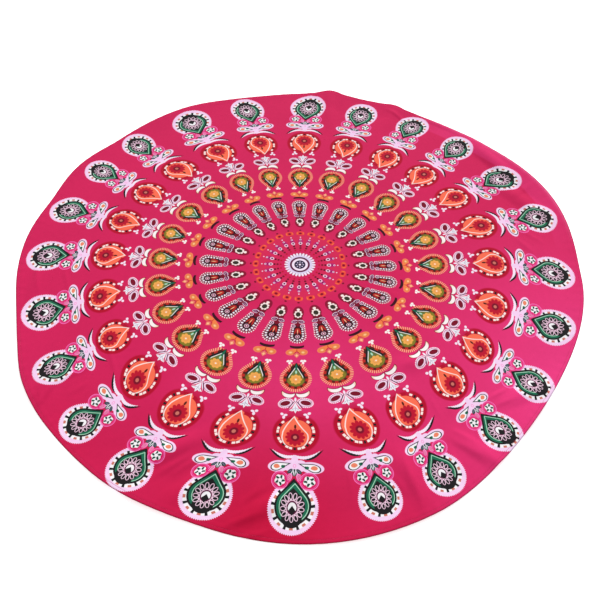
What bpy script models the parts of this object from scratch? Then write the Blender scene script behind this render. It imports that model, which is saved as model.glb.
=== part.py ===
"""Round beach towel, 1.5 m across, laid out flat with the soft folds and lifted edges it keeps.

The towel is one round cut of thin printed cloth with its edge turned in as a narrow hem. The
cloth is a closed sheet. Its underside lies flat on the surface at Z = 0, except where a fold or
a stretch of the edge stands up. All sizes are in metres, and all angles in degrees, counted
from +X towards +Y. The printed face is up.
"""

import math

import bmesh
import bpy
import numpy as np

# The cut of cloth
RADIUS = 0.751
CLOTH_THICKNESS = 0.0012
HEM_THICKNESS = 0.0022
HEM_WIDTH = 0.011
HEM_STEP = 0.003

# Spokes and rings of the sheet: the rings close up towards the edge, where the folds are
SPOKES = 180
RING_SHARES = (0.0, 0.16, 0.30, 0.42, 0.52, 0.60, 0.67, 0.73, 0.78, 0.83, 0.87, 0.905, 0.94, 0.965)

# Where the edge lies outside (+) or inside (-) the mean radius.
# Columns: middle angle, half width of the stretch in degrees, how far out
EDGE_SWELLS = (
    (18.0, 21.0, 0.020),
    (62.0, 32.0, -0.018),
    (65.5, 3.5, 0.006),
    (82.0, 4.0, 0.012),
    (98.0, 22.0, -0.016),
    (120.0, 22.0, 0.004),
    (149.0, 12.0, 0.011),
    (171.0, 10.0, 0.005),
    (194.0, 16.0, -0.014),
    (216.0, 16.0, 0.007),
    (238.0, 18.0, 0.008),
    (276.0, 32.0, 0.017),
    (324.0, 32.0, -0.028),
)

# Stretches of edge that stand off the surface.
# Columns: middle angle, half width in degrees, height at the edge, how far in the lift reaches
EDGE_LIFTS = (
    (27.0, 25.0, 0.009, 0.075),
    (65.0, 8.0, 0.005, 0.070),
    (82.0, 8.0, 0.007, 0.090),
    (122.0, 16.0, 0.004, 0.070),
    (150.0, 12.0, 0.003, 0.060),
    (205.0, 18.0, 0.005, 0.080),
    (243.0, 16.0, 0.006, 0.085),
    (286.0, 20.0, 0.004, 0.070),
    (318.0, 17.0, 0.006, 0.080),
)

# Soft folds left in the cloth, as straight ridges that fade at their ends.
# Columns: start X, start Y, end X, end Y, width across, height
FOLDS = (
    (-0.40, -0.61, -0.17, -0.49, 0.060, 0.007),
    (-0.31, -0.69, -0.10, -0.55, 0.065, 0.008),
    (-0.19, -0.74, 0.05, -0.63, 0.060, 0.006),
    (-0.64, -0.45, -0.55, -0.26, 0.070, 0.006),
    (-0.70, -0.16, -0.67, 0.06, 0.055, 0.004),
    (0.49, 0.55, 0.66, 0.29, 0.060, 0.006),
    (0.55, 0.35, 0.74, 0.13, 0.070, 0.006),
    (0.09, 0.52, 0.11, 0.76, 0.060, 0.006),
    (0.27, 0.54, 0.32, 0.69, 0.060, 0.004),
    (0.33, -0.49, 0.49, -0.62, 0.055, 0.006),
    (0.43, -0.44, 0.63, -0.37, 0.060, 0.005),
    (0.21, -0.52, 0.29, -0.72, 0.065, 0.006),
    (0.20, -0.34, 0.36, -0.29, 0.070, 0.004),
)

CLOTH_COLOUR = (0.66, 0.022, 0.110, 1.0)
CLOTH_ROUGHNESS = 0.88


def bell(distance, half_width):
    """Smooth hump: 1 at no distance, and exactly 0 from the half width on."""
    share = np.clip(np.abs(distance) / half_width, 0.0, 1.0)
    return (1.0 - share ** 2) ** 2


def turn_between(angle, middle):
    """Signed angle from the middle to the angle, between -180 and 180 degrees."""
    return (angle - middle + 180.0) % 360.0 - 180.0


def edge_radius(angle):
    """Radius of the hemmed edge: the mean radius with each swell's hump added."""
    radius = np.full_like(angle, RADIUS)
    for middle, half_width, out in EDGE_SWELLS:
        radius += out * bell(turn_between(angle, middle), half_width)
    return radius


def lift(x, y):
    """Height of the underside: every fold's ridge and every lifted stretch of edge, added up."""
    angle = np.degrees(np.arctan2(y, x))
    from_edge = edge_radius(angle) - np.hypot(x, y)
    height = np.zeros_like(x)
    for middle, half_width, top, reach in EDGE_LIFTS:
        height += top * bell(turn_between(angle, middle), half_width) * bell(from_edge, reach)
    for start_x, start_y, end_x, end_y, width, top in FOLDS:
        length = math.hypot(end_x - start_x, end_y - start_y)
        along_x = (end_x - start_x) / length
        along_y = (end_y - start_y) / length
        from_middle_x = x - (start_x + end_x) / 2
        from_middle_y = y - (start_y + end_y) / 2
        along = from_middle_x * along_x + from_middle_y * along_y
        across = from_middle_y * along_x - from_middle_x * along_y
        height += top * bell(across, width / 2) * bell(along, length / 2)
    return height


def flat_disc():
    """Disc of rings and spokes with a radius of 1, facing up: one spoke spun a full turn."""
    hem_shares = (
        1.0 - (HEM_WIDTH + HEM_STEP) / RADIUS,
        1.0 - HEM_WIDTH / RADIUS,
        1.0,
    )
    form = bmesh.new()
    spoke = [form.verts.new((share, 0.0, 0.0)) for share in RING_SHARES + hem_shares]
    links = [form.edges.new(pair) for pair in zip(spoke, spoke[1:])]
    bmesh.ops.spin(
        form,
        geom=spoke + links,
        cent=(0.0, 0.0, 0.0),
        axis=(0.0, 0.0, 1.0),
        angle=2 * math.pi,
        steps=SPOKES,
        use_merge=True,
    )
    bmesh.ops.remove_doubles(form, verts=form.verts, dist=0.00001)
    facing_down = [face for face in form.faces if face.normal.z < 0.0]
    bmesh.ops.reverse_faces(form, faces=facing_down)
    mesh = bpy.data.meshes.new("towel")
    form.to_mesh(mesh)
    form.free()
    return mesh


def cloth_material():
    """Crimson ground of the printed cloth, dull all over."""
    material = bpy.data.materials.new("crimson_cloth")
    material.use_nodes = True
    finish = material.node_tree.nodes["Principled BSDF"]
    finish.inputs["Base Color"].default_value = CLOTH_COLOUR
    finish.inputs["Roughness"].default_value = CLOTH_ROUGHNESS
    finish.inputs["Metallic"].default_value = 0.0
    return material


def make_towel(collection):
    """The towel: a disc drawn out to the edge, lifted at its folds, then given its thickness."""
    mesh = flat_disc()
    points = np.empty(len(mesh.vertices) * 3, dtype=np.float32)
    mesh.vertices.foreach_get("co", points)
    points = points.reshape(-1, 3).astype(float)

    share = np.hypot(points[:, 0], points[:, 1])
    angle = np.degrees(np.arctan2(points[:, 1], points[:, 0]))
    scale = edge_radius(angle)
    x = points[:, 0] * scale
    y = points[:, 1] * scale
    z = lift(x, y)

    # The footprint's middle goes to the origin
    x_middle = (x.min() + x.max()) / 2
    y_middle = (y.min() + y.max()) / 2
    places = np.column_stack((x - x_middle, y - y_middle, z))
    mesh.vertices.foreach_set("co", places.ravel())
    mesh.update()
    mesh.shade_smooth()
    mesh.materials.append(cloth_material())

    towel = bpy.data.objects.new("towel", mesh)
    collection.objects.link(towel)

    # Two layers of cloth in the hem, one elsewhere
    hem = towel.vertex_groups.new(name="hem")
    hem_start = 1.0 - (HEM_WIDTH + HEM_STEP / 2) / RADIUS
    hem.add(np.flatnonzero(share > hem_start).tolist(), 1.0, "REPLACE")
    thickness = towel.modifiers.new("thickness", "SOLIDIFY")
    thickness.thickness = HEM_THICKNESS
    thickness.offset = 1.0
    thickness.vertex_group = hem.name
    thickness.thickness_vertex_group = CLOTH_THICKNESS / HEM_THICKNESS
    return towel


def main():
    for old in list(bpy.data.objects):
        bpy.data.objects.remove(old, do_unlink=True)
    collection = bpy.data.collections.new("round_beach_towel")
    bpy.context.scene.collection.children.link(collection)
    make_towel(collection)


main()
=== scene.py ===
"""Looks of the round beach towel: thin printed cloth laid out flat, with its folds and its hem.

Lengths are in metres unless a comment says otherwise. Sizes of the print are in millimetres, as
a printer's drawing gives them. Angles are in degrees, counted from +X towards +Y.
"""

import math
from collections import namedtuple

import bpy
import numpy as np
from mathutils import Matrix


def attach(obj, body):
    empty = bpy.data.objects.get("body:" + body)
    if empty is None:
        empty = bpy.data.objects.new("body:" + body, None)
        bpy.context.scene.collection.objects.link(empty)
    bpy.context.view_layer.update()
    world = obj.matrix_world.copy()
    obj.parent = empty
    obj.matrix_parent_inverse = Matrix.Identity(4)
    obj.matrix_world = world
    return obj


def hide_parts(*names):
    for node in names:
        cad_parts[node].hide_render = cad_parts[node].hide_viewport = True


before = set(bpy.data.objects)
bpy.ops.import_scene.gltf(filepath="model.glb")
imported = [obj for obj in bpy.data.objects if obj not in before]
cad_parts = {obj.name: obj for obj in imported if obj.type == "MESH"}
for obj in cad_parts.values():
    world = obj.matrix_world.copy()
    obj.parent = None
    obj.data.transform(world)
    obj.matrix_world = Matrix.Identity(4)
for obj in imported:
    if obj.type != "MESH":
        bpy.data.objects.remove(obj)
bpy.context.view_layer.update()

# ---------------------------------------------------------------- sizes of the towel

# The flat cut's diameter, and the mean radius of its edge as it lies
RADIUS = 0.751

CLOTH_THICKNESS = 0.0012
HEM_THICKNESS = 0.0022
HEM_WIDTH = 0.011
# Width over which one layer of cloth rises to the hem's two
HEM_STEP = 0.007

# Where the edge lies outside (+) or inside (-) the mean radius.
# Columns: middle angle, half width of the stretch in degrees, how far out
EDGE_SWELLS = (
    (18.0, 21.0, 0.020),
    (62.0, 32.0, -0.018),
    (65.5, 3.5, 0.006),
    (82.0, 4.0, 0.012),
    (98.0, 22.0, -0.016),
    (120.0, 22.0, 0.004),
    (149.0, 12.0, 0.011),
    (171.0, 10.0, 0.005),
    (194.0, 16.0, -0.014),
    (216.0, 16.0, 0.007),
    (238.0, 18.0, 0.008),
    (276.0, 32.0, 0.017),
    (324.0, 32.0, -0.028),
)

# Stretches of edge that stand off the surface.
# Columns: middle angle, half width in degrees, height at the edge, how far in the lift reaches
EDGE_LIFTS = (
    (27.0, 25.0, 0.009, 0.075),
    (65.0, 8.0, 0.005, 0.070),
    (82.0, 8.0, 0.007, 0.090),
    (122.0, 16.0, 0.004, 0.070),
    (150.0, 12.0, 0.003, 0.060),
    (205.0, 18.0, 0.005, 0.080),
    (243.0, 16.0, 0.006, 0.085),
    (286.0, 20.0, 0.004, 0.070),
    (318.0, 17.0, 0.006, 0.080),
)

# Soft folds left in the cloth, as straight ridges that fade at their ends.
# Columns: start X, start Y, end X, end Y, width across, height
FOLDS = (
    (-0.40, -0.61, -0.17, -0.49, 0.060, 0.007),
    (-0.31, -0.69, -0.10, -0.55, 0.065, 0.008),
    (-0.19, -0.74, 0.05, -0.63, 0.060, 0.006),
    (-0.64, -0.45, -0.55, -0.26, 0.070, 0.006),
    (-0.70, -0.16, -0.67, 0.06, 0.055, 0.004),
    (0.49, 0.55, 0.66, 0.29, 0.060, 0.006),
    (0.55, 0.35, 0.74, 0.13, 0.070, 0.006),
    (0.09, 0.52, 0.11, 0.76, 0.060, 0.006),
    (0.27, 0.54, 0.32, 0.69, 0.060, 0.004),
    (0.33, -0.49, 0.49, -0.62, 0.055, 0.006),
    (0.43, -0.44, 0.63, -0.37, 0.060, 0.005),
    (0.21, -0.52, 0.29, -0.72, 0.065, 0.006),
    (0.20, -0.34, 0.36, -0.29, 0.070, 0.004),
)

# Finer wrinkles and creases on and between the folds, with the same columns
WRINKLES = (
    (-0.34, -0.63, -0.21, -0.54, 0.024, 0.0030),
    (-0.29, -0.62, -0.20, -0.55, 0.020, 0.0022),
    (-0.42, -0.56, -0.33, -0.53, 0.020, 0.0014),
    (-0.18, -0.74, -0.06, -0.69, 0.022, 0.0026),
    (-0.15, -0.70, -0.05, -0.62, 0.026, 0.0022),
    (-0.11, -0.68, -0.07, -0.60, 0.020, 0.0018),
    (-0.14, -0.76, -0.03, -0.73, 0.020, 0.0018),
    (-0.58, -0.36, -0.61, -0.45, 0.022, 0.0032),
    (-0.61, -0.37, -0.60, -0.47, 0.018, 0.0020),
    (-0.59, -0.37, -0.49, -0.32, 0.022, 0.0026),
    (-0.55, -0.41, -0.49, -0.36, 0.018, 0.0012),
    (-0.48, -0.23, -0.43, -0.37, 0.020, 0.0014),
    (-0.71, 0.03, -0.67, -0.12, 0.018, 0.0014),
    (-0.63, 0.01, -0.59, -0.12, 0.018, 0.0014),
    (0.23, -0.54, 0.26, -0.68, 0.020, 0.0024),
    (0.25, -0.58, 0.27, -0.71, 0.018, 0.0018),
    (0.29, -0.58, 0.30, -0.68, 0.018, 0.0018),
    (0.21, -0.60, 0.24, -0.67, 0.018, 0.0018),
    (0.34, -0.49, 0.42, -0.54, 0.018, 0.0016),
    (0.33, -0.51, 0.43, -0.58, 0.018, 0.0014),
    (0.34, -0.54, 0.37, -0.62, 0.016, 0.0020),
    (0.44, -0.42, 0.51, -0.38, 0.018, 0.0028),
    (0.45, -0.44, 0.52, -0.41, 0.016, 0.0016),
    (0.31, -0.40, 0.33, -0.47, 0.016, 0.0014),
    (0.35, -0.40, 0.36, -0.47, 0.016, 0.0012),
    (0.24, -0.33, 0.31, -0.30, 0.020, 0.0024),
    (0.22, -0.06, 0.26, -0.12, 0.018, 0.0012),
    (0.38, 0.62, 0.51, 0.53, 0.020, 0.0020),
    (0.27, 0.67, 0.35, 0.58, 0.018, 0.0024),
    (0.60, 0.25, 0.70, 0.32, 0.020, 0.0024),
    (0.59, 0.11, 0.65, 0.03, 0.020, 0.0020),
    (0.61, 0.14, 0.68, 0.07, 0.018, 0.0016),
    (0.11, -0.57, 0.12, -0.69, 0.018, 0.0014),
    (0.06, 0.76, 0.08, 0.65, 0.018, 0.0018),
    (0.00, -0.65, 0.06, -0.70, 0.018, 0.0012),
)

# Share of the wrinkles' height that also shows on the underside
WRINKLE_SHARE_BELOW = 0.8

# The hem's edge: how far in its rounding starts, and angles from the top to the underside
HEM_ROUND = 0.0010
ROUND_TURNS = (60.0, 30.0, 0.0, -30.0, -60.0)

# Stitches that hold the hem down, and how far and how wide they draw the cloth in
STITCH_INSET = 0.0085
STITCH_PITCH = 0.0036
STITCH_LENGTH = 0.0029
STITCH_THICKNESS = 0.0006
STITCH_DIP = 0.0003
STITCH_DIP_REACH = 0.0022

# Puckers along the hem. Columns: how many there are all round, half their height
PUCKERS = (
    (157, 0.00024),
    (211, 0.00016),
)
PUCKER_REACH = 0.030

# Spokes of the sheet's grid: how many, which angle they are drawn together towards, how much
SPOKES = 704
CLOSEST_SPOKES_AT = 260.0
CLOSER_SHARE = 0.25

# Angle between the solid's own spokes, on which its footprint's middle rests
SOLID_SPOKE_STEP = 2.0

# Rings of the grid. Columns: distance share they start at, how many there are up to the next
RING_ZONES = (
    (0.0, 10),
    (0.45, 20),
    (0.70, 52),
)


# ---------------------------------------------------------------- the lie of the cloth

def bell(distance, half_width):
    """Smooth hump: 1 at no distance, and exactly 0 from the half width on."""
    share = np.clip(np.abs(distance) / half_width, 0.0, 1.0)
    return (1.0 - share ** 2) ** 2


def turn_between(angle, middle):
    """Signed angle from the middle to the angle, between -180 and 180 degrees."""
    return (angle - middle + 180.0) % 360.0 - 180.0


def edge_radius(angle):
    """Radius of the hemmed edge: the mean radius with each swell's hump added."""
    radius = np.full_like(angle, RADIUS)
    for middle, half_width, out in EDGE_SWELLS:
        radius += out * bell(turn_between(angle, middle), half_width)
    return radius


def ridges(x, y, rows):
    """Height of straight ridges: each row's hump across its line, faded along it."""
    height = np.zeros_like(x)
    for start_x, start_y, end_x, end_y, width, top in rows:
        length = math.hypot(end_x - start_x, end_y - start_y)
        along_x = (end_x - start_x) / length
        along_y = (end_y - start_y) / length
        from_middle_x = x - (start_x + end_x) / 2
        from_middle_y = y - (start_y + end_y) / 2
        along = from_middle_x * along_x + from_middle_y * along_y
        across = from_middle_y * along_x - from_middle_x * along_y
        height += top * bell(across, width / 2) * bell(along, length / 2)
    return height


def lift(x, y):
    """Height of the underside: every fold's ridge and every lifted stretch of edge, added up."""
    angle = np.degrees(np.arctan2(y, x))
    from_edge = edge_radius(angle) - np.hypot(x, y)
    height = ridges(x, y, FOLDS)
    for middle, half_width, top, reach in EDGE_LIFTS:
        height += top * bell(turn_between(angle, middle), half_width) * bell(from_edge, reach)
    return height


def outline_middle():
    """Middle of the footprint: half way between the edge's lowest and highest X and Y."""
    angle = np.arange(0.0, 360.0, SOLID_SPOKE_STEP)
    radius = edge_radius(angle)
    x = radius * np.cos(np.radians(angle))
    y = radius * np.sin(np.radians(angle))
    return (x.min() + x.max()) / 2, (y.min() + y.max()) / 2


# ---------------------------------------------------------------- where the print lies

# The print's middle and its turn against the cloth, as it was cut
PRINT_X = 0.0045
PRINT_Y = 0.0020
PRINT_TURN = 1.5

# Places where the print is pulled aside, because the thin cloth is stretched and pushed together.
# Columns: X, Y, how far the pull reaches, shift in X, shift in Y
TUGS = (
    (0.05, 0.55, 0.50, 0.000, 0.021),
    (0.22, 0.66, 0.22, 0.000, 0.014),
    (0.07, 0.73, 0.16, -0.018, 0.000),
    (0.02, 0.28, 0.22, 0.009, 0.007),
    (0.38, 0.32, 0.42, 0.013, 0.004),
    (0.56, 0.46, 0.20, 0.014, -0.004),
    (0.27, 0.17, 0.20, 0.004, 0.009),
    (0.53, 0.09, 0.33, 0.000, -0.024),
    (0.62, 0.16, 0.20, -0.008, -0.004),
    (0.72, -0.02, 0.22, 0.010, 0.026),
    (0.66, -0.40, 0.34, 0.034, 0.026),
    (0.27, -0.22, 0.28, -0.018, -0.016),
    (0.17, -0.62, 0.20, -0.022, 0.000),
    (0.32, -0.60, 0.20, 0.016, 0.010),
    (0.13, -0.46, 0.16, -0.008, -0.012),
    (-0.36, -0.60, 0.32, 0.020, 0.018),
    (-0.17, -0.30, 0.18, 0.008, 0.012),
    (-0.44, -0.42, 0.14, -0.004, 0.012),
    (-0.34, -0.16, 0.32, 0.022, -0.013),
    (-0.66, -0.25, 0.22, -0.014, 0.008),
    (-0.56, 0.07, 0.30, 0.000, -0.020),
    (-0.28, 0.13, 0.18, 0.011, -0.007),
    (-0.46, 0.53, 0.26, 0.026, 0.016),
    (-0.58, 0.34, 0.16, 0.000, -0.012),
    (-0.22, 0.34, 0.22, -0.004, -0.010),
    (-0.07, -0.57, 0.18, -0.004, -0.007),
    (-0.01, -0.73, 0.16, 0.000, 0.012),
    (-0.17, 0.70, 0.14, 0.014, 0.003),
    (0.37, 0.65, 0.12, 0.006, 0.011),
    (0.57, 0.57, 0.14, 0.012, 0.006),
)


def print_place(x, y):
    """Where a point of the cloth is on the printer's drawing, in metres from its middle.

    Each tug shifts the points round it by its hump, and then the drawing's turn is taken out.
    """
    drawn_x = np.array(x, dtype=float)
    drawn_y = np.array(y, dtype=float)
    for tug_x, tug_y, reach, shift_x, shift_y in TUGS:
        share = bell(np.hypot(x - tug_x, y - tug_y), reach)
        drawn_x += shift_x * share
        drawn_y += shift_y * share
    drawn_x -= PRINT_X
    drawn_y -= PRINT_Y
    along = math.cos(math.radians(PRINT_TURN))
    across = math.sin(math.radians(PRINT_TURN))
    return drawn_x * along - drawn_y * across, drawn_x * across + drawn_y * along


# ---------------------------------------------------------------- node groups as formulas

MILLIMETRE = 0.001
NODE_SPACING = 180
NODES_A_ROW = 30

# Width in millimetres over which the ink's edges bleed into the cloth
INK_BLEED = 0.7


def new_node(tree, kind):
    """A node of this kind, laid out in rows so that the tree can be read."""
    count = len(tree.nodes)
    node = tree.nodes.new(kind)
    node.location = (NODE_SPACING * (count % NODES_A_ROW), -NODE_SPACING * (count // NODES_A_ROW))
    return node


class Field:
    """A number or a vector that changes over the cloth, and takes + - * as a number does."""

    def __init__(self, socket):
        self.socket = socket
        self.tree = socket.id_data

    def __add__(self, other):
        return maths("ADD", self, other)

    def __sub__(self, other):
        return maths("SUBTRACT", self, other)

    def __rsub__(self, other):
        return maths("SUBTRACT", other, self)

    def __mul__(self, other):
        return maths("MULTIPLY", self, other)


def feed(entries, values):
    """Link or set a node's entries, in order."""
    for entry, value in zip(entries, values):
        if isinstance(value, Field):
            value.tree.links.new(value.socket, entry)
        else:
            entry.default_value = value


def maths(operation, *values, clamp=False):
    """The outcome of a Math node on fields and plain numbers."""
    tree = next(value.tree for value in values if isinstance(value, Field))
    node = new_node(tree, "ShaderNodeMath")
    node.operation = operation
    node.use_clamp = clamp
    feed(node.inputs, values)
    return Field(node.outputs["Value"])


def vectors(operation, *values, output="Vector"):
    """The outcome of a Vector Math node on fields and plain vectors."""
    tree = next(value.tree for value in values if isinstance(value, Field))
    node = new_node(tree, "ShaderNodeVectorMath")
    node.operation = operation
    feed(node.inputs, values)
    return Field(node.outputs[output])


def length(vector):
    return vectors("LENGTH", vector, output="Value")


def absolute(field):
    return maths("ABSOLUTE", field)


def larger(first, second):
    return maths("MAXIMUM", first, second)


def sine(field):
    return maths("SINE", field)


def cosine(field):
    return maths("COSINE", field)


def wrapped(angle, sector):
    """What is left of the angle in its own one of equal sectors, from minus half to half of it."""
    return maths("WRAP", angle, sector / 2, -sector / 2)


def waves(distance, pitch):
    """Wave along a distance: 1 at every whole pitch, and -1 half way between."""
    return cosine(distance * (math.tau / pitch))


def parts(vector):
    """The X, Y and Z fields of a vector."""
    axes = ((1.0, 0.0, 0.0), (0.0, 1.0, 0.0), (0.0, 0.0, 1.0))
    return [vectors("DOT_PRODUCT", vector, axis, output="Value") for axis in axes]


def joined(*fields):
    """The vector of two or three fields."""
    node = new_node(fields[0].tree, "ShaderNodeCombineXYZ")
    feed(node.inputs, fields)
    return Field(node.outputs["Vector"])


def in_millimetres(place, x=0.0, y=0.0):
    """A place in metres as one in millimetres, seen from this point of the drawing."""
    scale = (1.0 / MILLIMETRE, 1.0 / MILLIMETRE, 0.0)
    if x or y:
        return vectors("MULTIPLY_ADD", place, scale, (-x, -y, 0.0))
    return vectors("MULTIPLY", place, scale)


# ---------------------------------------------------------------- shapes on the drawing

def inside(distance, size, bleed=INK_BLEED):
    """Mask that is 1 where the distance is under the size, with a narrow soft rim."""
    return maths("MULTIPLY_ADD", distance, -1.0 / bleed, size / bleed + 0.5, clamp=True)


def beyond(distance, size, bleed=INK_BLEED):
    """Mask that is 1 where the distance is over the size, with a narrow soft rim."""
    return maths("MULTIPLY_ADD", distance, 1.0 / bleed, 0.5 - size / bleed, clamp=True)


def stroke(distance, middle, half_width, bleed=INK_BLEED):
    """Mask of a line along which the distance is the middle one."""
    return inside(absolute(distance - middle), half_width, bleed)


def unit_place(place, x, y, half_x, half_y, turn=0.0):
    """The place seen from a shape's own middle, in shares of its half sizes, turned with it."""
    if turn:
        node = new_node(place.tree, "ShaderNodeVectorRotate")
        node.rotation_type = "Z_AXIS"
        feed(node.inputs, [place, (x, y, 0.0)])
        node.inputs["Angle"].default_value = -math.radians(turn)
        place = Field(node.outputs["Vector"])
    scale = (1.0 / half_x, 1.0 / half_y, 0.0)
    return vectors("MULTIPLY_ADD", place, scale, (-x / half_x, -y / half_y, 0.0))


def oval(place, x, y, half_x, half_y, turn=0.0):
    """Mask of a filled oval, turned counter-clockwise."""
    share = length(unit_place(place, x, y, half_x, half_y, turn))
    return inside(share, 1.0, INK_BLEED / min(half_x, half_y))


def diamond(place, x, y, half_x, half_y, turn=0.0):
    """Mask of a filled diamond: the shares of both half sizes add up to less than 1."""
    unit = vectors("ABSOLUTE", unit_place(place, x, y, half_x, half_y, turn))
    share = vectors("DOT_PRODUCT", unit, (1.0, 1.0, 0.0), output="Value")
    return inside(share, 1.0, INK_BLEED / min(half_x, half_y))


def around(place, x, y):
    """Distance from a centre, and the angle in radians from the outward direction."""
    from_centre = vectors("SUBTRACT", place, (x, y, 0.0))
    across, outward, _ = parts(from_centre)
    return length(from_centre), maths("ARCTAN2", across, outward)


def spun(distance, angle, count):
    """The place in one of a number of equal sectors round a centre, from its middle line."""
    turn = wrapped(angle, math.tau / count)
    return joined(distance * sine(turn), distance * cosine(turn))


def from_marks(angle, pitch, radius):
    """Distance along a ring from the nearest of its marks, which stand at this angle's pitch."""
    return absolute(wrapped(angle, pitch)) * radius


def drop(distance, angle, radius, tip):
    """Size of a drop of this radius whose tip points inward, as the radius it has at each point.

    Round its back it is the distance from the centre. Along its flanks, which run straight from
    the circle to the tip, it is the distance measured square to the flank.
    """
    flank = math.acos(radius / tip)
    from_tip = math.pi - absolute(angle)
    return distance * cosine(larger(flank - from_tip, 0.0))


# Colours of the inks, as red, green and blue shares on a screen
INKS = {
    "crimson": (0.825, 0.118, 0.348),
    # The next three are no inks of the print: they are painted light, painted shade and a painted
    # highlight on the ground
    "painted light crimson": (0.925, 0.225, 0.505),
    "painted shade crimson": (0.770, 0.040, 0.235),
    "painted highlight crimson": (0.940, 0.350, 0.570),
    "washed crimson": (0.88, 0.42, 0.53),
    "thread crimson": (0.88, 0.22, 0.42),
    "deep crimson": (0.71, 0.010, 0.165),
    "magenta": (0.87, 0.08, 0.45),
    "ruby": (0.74, 0.06, 0.18),
    "tomato": (0.74, 0.15, 0.13),
    "salmon": (0.93, 0.52, 0.40),
    "pale rose": (0.97, 0.82, 0.90),
    "maroon": (0.48, 0.03, 0.15),
    "dark maroon": (0.22, 0.03, 0.10),
    "plum": (0.38, 0.09, 0.26),
    "mauve": (0.68, 0.47, 0.62),
    "violet": (0.72, 0.13, 0.45),
    "lavender": (0.87, 0.82, 0.94),
    "lilac": (0.965, 0.82, 0.95),
    "pale lilac": (0.97, 0.90, 0.97),
    "rose": (0.99, 0.47, 0.76),
    "white": (0.97, 0.96, 0.97),
    "ice": (0.95, 0.93, 0.97),
    "cream": (1.0, 0.92, 0.90),
    "ivory": (0.99, 0.955, 0.95),
    "peach": (1.0, 0.76, 0.58),
    "orange": (0.96, 0.50, 0.28),
    "coral": (0.985, 0.435, 0.32),
    "vermilion": (0.93, 0.30, 0.22),
    "amber": (0.95, 0.665, 0.32),
    "rust": (0.80, 0.45, 0.39),
    "olive": (0.53, 0.48, 0.15),
    "dark olive": (0.20, 0.19, 0.14),
    "leaf green": (0.10, 0.41, 0.30),
    "pine green": (0.06, 0.26, 0.20),
    "pale green": (0.68, 0.88, 0.76),
    "slate": (0.42, 0.40, 0.52),
    "navy": (0.16, 0.13, 0.24),
    "black": (0.11, 0.10, 0.11),
    "brown": (0.33, 0.11, 0.08),
}

# Share that makes up for the strong light, which the floor needs to look as white as it should
LIGHT_SHARE = 0.80


def screen_to_light(share):
    """Linear light of a colour share on a screen, by the sRGB curve."""
    if share <= 0.04045:
        return share / 12.92
    return ((share + 0.055) / 1.055) ** 2.4


def ink_colour(name):
    """Reflected share of red, green and blue of a named ink, with full alpha."""
    return (*(LIGHT_SHARE * screen_to_light(share) for share in INKS[name]), 1.0)


class Picture:
    """The print as it builds up: each ink is laid through a mask over what is there already."""

    def __init__(self, tree, ground):
        self.tree = tree
        self.colour = ink_colour(ground)

    def lay(self, mask, ink, strength=1.0):
        """Lay an ink where the mask is, at this share of its full strength."""
        if strength < 1.0:
            mask = mask * strength
        node = new_node(self.tree, "ShaderNodeMix")
        node.data_type = "RGBA"
        entries = [entry for entry in node.inputs if entry.enabled]
        feed(entries, (mask, self.colour, ink_colour(ink)))
        self.colour = Field(next(output for output in node.outputs if output.enabled))

    def lay_ovals(self, place, rows):
        """Lay ovals. Columns: X, Y, half width, half height, ink, and a turn where there is one."""
        for x, y, half_x, half_y, ink, *turn in rows:
            self.lay(oval(place, x, y, half_x, half_y, *turn), ink)

    def lay_discs(self, distance, rows):
        """Lay discs round one centre. Columns: radius, ink."""
        for radius, ink in rows:
            self.lay(inside(distance, radius), ink)


# ---------------------------------------------------------------- motifs of the print

# The print repeats in this many columns round its middle. In a column, X runs sideways from its
# middle line and Y outward from the print's middle, in millimetres. A half place has both sides'
# distance from the middle line as its X, so what is drawn there shows on both sides.
COLUMNS = 24
Column = namedtuple("Column", "whole half x half_x y angle")

# A hair's width, which keeps the angle of a point on a straight side defined
HAIR = 0.001


def column_of(place):
    """Where a point of the drawing lies in its column.

    The angle round the middle, clockwise from the top, is rounded to the nearest column's own,
    and what is left over turns the distance from the middle into X and Y.
    """
    across, up, _ = parts(place)
    angle = maths("ARCTAN2", across, up)
    turn = wrapped(angle, math.tau / COLUMNS)
    reach = length(joined(across, up))
    x = reach * sine(turn)
    y = reach * cosine(turn)
    half_x = absolute(x)
    return Column(joined(x, y), joined(half_x, y), x, half_x, y, angle)


def draw_medallion(art, column):
    """Round centre of petals, rings and a dark eye with a star of dots."""
    reach = length(column.whole)
    petal = spun(reach, column.angle, count=28)
    art.lay(inside(reach, 39.0), "plum")
    art.lay(oval(petal, 0, 35.6, 3.2, 6.2), "pale lilac")
    art.lay(inside(reach, 32.6), "lavender")
    art.lay(stroke(reach, 23.9, 2.9), "plum")
    art.lay_discs(reach, ((21.4, "pale lilac"), (15.0, "navy")))
    dot = spun(reach, column.angle, count=8)
    art.lay(oval(dot, 0, 9.0, 1.5, 2.0), "lavender")
    art.lay(inside(reach, 3.2), "pale lilac")


def draw_inner_dots(art, column):
    """Rows of small dots and flowers round the medallion, on a faint warm ring."""
    reach = length(column.whole)
    art.lay(stroke(reach, 92.0, 30.0, bleed=30.0), "vermilion", strength=0.12)
    art.lay_ovals(column.half, (
        (0.0, 52.0, 2.9, 2.8, "ruby"),
        (0.0, 60.0, 3.3, 3.1, "maroon"),
        (0.0, 68.0, 3.0, 2.8, "dark maroon"),
        (0.0, 84.0, 6.6, 13.0, "violet"),
        (0.0, 78.0, 5.0, 5.6, "pale rose"),
        (0.0, 78.0, 2.7, 3.0, "plum"),
        (0.0, 86.5, 2.0, 1.8, "plum"),
        (0.0, 92.5, 2.8, 2.8, "pale rose"),
        (0.0, 92.5, 1.3, 1.3, "plum"),
        (0.0, 101.5, 1.9, 1.9, "pale rose"),
    ))


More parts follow.
